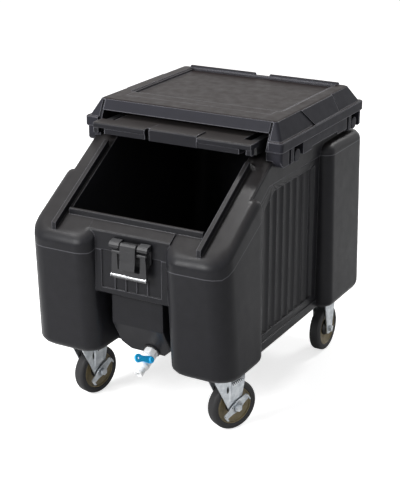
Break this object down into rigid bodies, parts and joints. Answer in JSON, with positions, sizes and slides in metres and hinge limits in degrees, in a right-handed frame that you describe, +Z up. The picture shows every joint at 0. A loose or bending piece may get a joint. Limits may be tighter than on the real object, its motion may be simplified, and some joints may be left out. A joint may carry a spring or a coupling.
{
  "type": "mobile ice bin",
  "caption": "Insulated mobile ice bin on casters with a sloping mouth, a lid that slides under a fixed cover, a draw latch and a drain valve.",
  "frame": {"origin": "on the floor under the middle of the bin's bounding box", "axes": "+X to the bin's right as seen from the front, +Y from the front to the rear, +Z up"},
  "size_m": [0.5748, 0.782, 0.752],
  "materials": {
    "bin_plastic": "moulded polyethylene, fine orange-peel grain, satin",
    "cover_plastic": "moulded, satin",
    "lid_plastic": "moulded, satin",
    "shelf_plastic": "moulded, matte",
    "track_plastic": "moulded, matte",
    "latch_plastic": "glass-filled nylon, half gloss",
    "bright_steel": "bright drawn",
    "zinc_steel": "bright zinc plate over stamped steel",
    "tyre_rubber": "moulded, dull",
    "wheel_plastic": "moulded olive, half matt",
    "white_nylon": "moulded, half gloss",
    "lever_plastic": "moulded, half gloss",
    "gasket_rubber": "moulded, dull"
  },
  "bodies": {
    "bin": {"body_shell": "bin_plastic", "drain_shelf": "shelf_plastic", "top_cover": "cover_plastic", "cover_lug_front_left": "cover_plastic", "cover_lug_rear_left": "cover_plastic", "cover_lug_front_right": "cover_plastic", "cover_lug_rear_right": "cover_plastic", "lid_track_left": "track_plastic", "lid_track_right": "track_plastic", "latch_base": "latch_plastic", "latch_pin": "bright_steel", "drain_gasket": "gasket_rubber", "drain_nut": "white_nylon", "valve_body": "white_nylon", "valve_spout": "white_nylon", "caster_plate_front_left": "zinc_steel", "caster_plate_front_right": "zinc_steel", "fork_rear_left": "zinc_steel", "axle_rear_left": "zinc_steel", "axle_nut_rear_left": "zinc_steel", "fork_rear_right": "zinc_steel", "axle_rear_right": "zinc_steel", "axle_nut_rear_right": "zinc_steel"},
    "lid_carriage": {"lid_shaft": "bright_steel", "lid_glide_left": "white_nylon", "lid_glide_right": "white_nylon"},
    "lid": {"lid_panel": "lid_plastic", "lid_strike": "lid_plastic"},
    "latch_lever": {"latch_lever": "latch_plastic", "bail_pin": "bright_steel"},
    "latch_bail": {"latch_bail": "latch_plastic", "latch_bar": "bright_steel"},
    "valve_handle": {"valve_lever": "lever_plastic", "valve_ball": "white_nylon"},
    "swivel_front_left": {"fork_front_left": "zinc_steel", "axle_front_left": "zinc_steel", "axle_nut_front_left": "zinc_steel"},
    "wheel_front_left": {"tyre_front_left": "tyre_rubber", "wheel_core_front_left": "wheel_plastic"},
    "brake_front_left": {"brake_front_left": "zinc_steel"},
    "swivel_front_right": {"fork_front_right": "zinc_steel", "axle_front_right": "zinc_steel", "axle_nut_front_right": "zinc_steel"},
    "wheel_front_right": {"tyre_front_right": "tyre_rubber", "wheel_core_front_right": "wheel_plastic"},
    "brake_front_right": {"brake_front_right": "zinc_steel"},
    "wheel_rear_left": {"tyre_rear_left": "tyre_rubber", "wheel_core_rear_left": "wheel_plastic"},
    "wheel_rear_right": {"tyre_rear_right": "tyre_rubber", "wheel_core_rear_right": "wheel_plastic"}
  },
  "joints": [
    {"name": "lid_slide", "type": "slide", "parent": "bin", "child": "lid_carriage", "axis": [0, -1, 0], "range_m": [0, 0.267]},
    {"name": "lid_tilt", "type": "hinge", "parent": "lid_carriage", "child": "lid", "pos_m": [0, 0.164, 0.688], "axis": [1, 0, 0], "range_deg": [0, 31]},
    {"name": "latch_lever_turn", "type": "hinge", "parent": "bin", "child": "latch_lever", "pos_m": [0.012, -0.371, 0.482], "axis": [-1, 0, 0], "range_deg": [0, 100]},
    {"name": "latch_bail_turn", "type": "hinge", "parent": "latch_lever", "child": "latch_bail", "pos_m": [0.012, -0.371, 0.466], "axis": [-1, 0, 0], "range_deg": [0, 55]},
    {"name": "valve_turn", "type": "hinge", "parent": "bin", "child": "valve_handle", "pos_m": [0.022, -0.32078, 0.1743], "axis": [0.866, -0.25, 0.433], "range_deg": [0, 90]},
    {"name": "swivel_front_left", "type": "hinge", "parent": "bin", "child": "swivel_front_left", "pos_m": [-0.197, -0.2455, 0.17], "axis": [0, 0, 1], "continuous": true},
    {"name": "roll_front_left", "type": "hinge", "parent": "swivel_front_left", "child": "wheel_front_left", "pos_m": [-0.19205, -0.22406, 0.0635], "axis": [0.9744, -0.225, 0], "continuous": true},
    {"name": "brake_front_left", "type": "hinge", "parent": "swivel_front_left", "child": "brake_front_left", "pos_m": [-0.19205, -0.22406, 0.0635], "axis": [0.9744, -0.225, 0], "range_deg": [0, 18]},
    {"name": "swivel_front_right", "type": "hinge", "parent": "bin", "child": "swivel_front_right", "pos_m": [0.197, -0.2455, 0.17], "axis": [0, 0, 1], "continuous": true},
    {"name": "roll_front_right", "type": "hinge", "parent": "swivel_front_right", "child": "wheel_front_right", "pos_m": [0.20733, -0.22607, 0.0635], "axis": [0.8829, -0.4695, 0], "continuous": true},
    {"name": "brake_front_right", "type": "hinge", "parent": "swivel_front_right", "child": "brake_front_right", "pos_m": [0.20733, -0.22607, 0.0635], "axis": [0.8829, -0.4695, 0], "range_deg": [0, 18]},
    {"name": "roll_rear_left", "type": "hinge", "parent": "bin", "child": "wheel_rear_left", "pos_m": [-0.2135, 0.30675, 0.0635], "axis": [1, 0, 0], "continuous": true},
    {"name": "roll_rear_right", "type": "hinge", "parent": "bin", "child": "wheel_rear_right", "pos_m": [0.2135, 0.30675, 0.0635], "axis": [1, 0, 0], "continuous": true}
  ],
  "couplings": [
    {"joint": "lid_tilt", "follows": "lid_slide", "rad_per_m": 2.0262}
  ]
}
